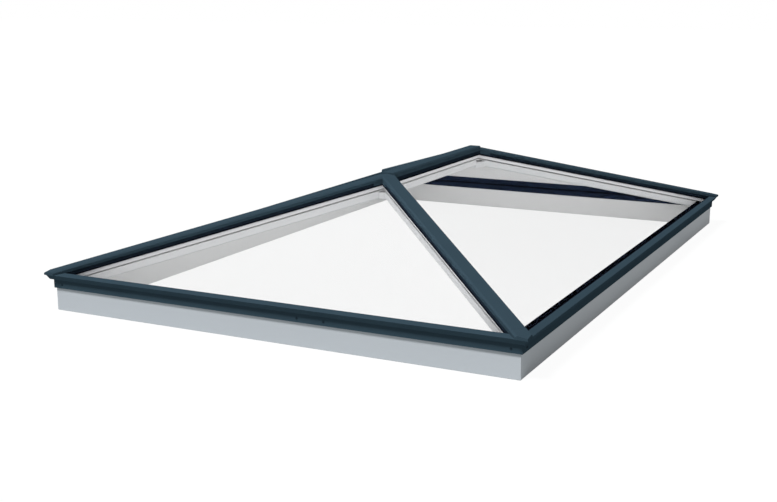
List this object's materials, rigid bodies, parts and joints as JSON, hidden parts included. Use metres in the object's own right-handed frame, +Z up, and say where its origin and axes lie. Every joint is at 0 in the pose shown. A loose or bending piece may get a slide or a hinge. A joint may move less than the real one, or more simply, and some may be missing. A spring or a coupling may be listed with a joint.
{
  "type": "roof lantern",
  "caption": "Rectangular hip-roof lantern with a short ridge: dark bars and caps over clear double glazing, white inside, on a light grey upstand kerb.",
  "frame": {"origin": "under the middle of the kerb, on the roof surface it stands on", "axes": "+Z up, +Y along the ridge and the long sides, from the front slope to the back slope, +X to the right"},
  "size_m": [2.066, 3.066, 0.494],
  "materials": {
    "kerb_grey": "light grey satin foil on a chambered plastic profile",
    "anthracite": "anthracite powder coat, satin",
    "white": "white powder coat, satin",
    "polyamide": "black glass-filled polyamide, matt",
    "rubber": "black rubber, matt",
    "glass": "clear float glass",
    "spacer": "light grey warm-edge spacer, matt",
    "steel": "plain stainless steel"
  },
  "bodies": {
    "root": {"kerb_front": "kerb_grey", "kerb_right": "kerb_grey", "kerb_back": "kerb_grey", "kerb_left": "kerb_grey", "eaves_beam_front": "anthracite", "eaves_beam_right": "anthracite", "eaves_beam_back": "anthracite", "eaves_beam_left": "anthracite", "eaves_cap_front": "anthracite", "eaves_cap_right": "anthracite", "eaves_cap_back": "anthracite", "eaves_cap_left": "anthracite", "corner_cover_front_left": "anthracite", "corner_cover_front_right": "anthracite", "corner_cover_back_right": "anthracite", "corner_cover_back_left": "anthracite", "hip_rafter_front_left": "white", "hip_rafter_front_right": "white", "hip_rafter_back_right": "white", "hip_rafter_back_left": "white", "hip_thermal_break_front_left": "polyamide", "hip_thermal_break_front_right": "polyamide", "hip_thermal_break_back_right": "polyamide", "hip_thermal_break_back_left": "polyamide", "hip_cap_front_left": "anthracite", "hip_cap_front_right": "anthracite", "hip_cap_back_right": "anthracite", "hip_cap_back_left": "anthracite", "ridge_beam": "white", "ridge_thermal_break": "polyamide", "ridge_cap": "anthracite", "ridge_boss_front": "anthracite", "ridge_boss_back": "anthracite", "ridge_hub_front": "white", "ridge_hub_back": "white", "ridge_stud_front": "steel", "ridge_stud_back": "steel", "outer_seal_front": "rubber", "outer_seal_right": "rubber", "outer_seal_back": "rubber", "outer_seal_left": "rubber", "outer_glass_front": "glass", "outer_glass_right": "glass", "outer_glass_back": "glass", "outer_glass_left": "glass", "spacer_front": "spacer", "spacer_right": "spacer", "spacer_back": "spacer", "spacer_left": "spacer", "inner_glass_front": "glass", "inner_glass_right": "glass", "inner_glass_back": "glass", "inner_glass_left": "glass", "inner_seal_front": "rubber", "inner_seal_right": "rubber", "inner_seal_back": "rubber", "inner_seal_left": "rubber"}
  },
  "joints": []
}
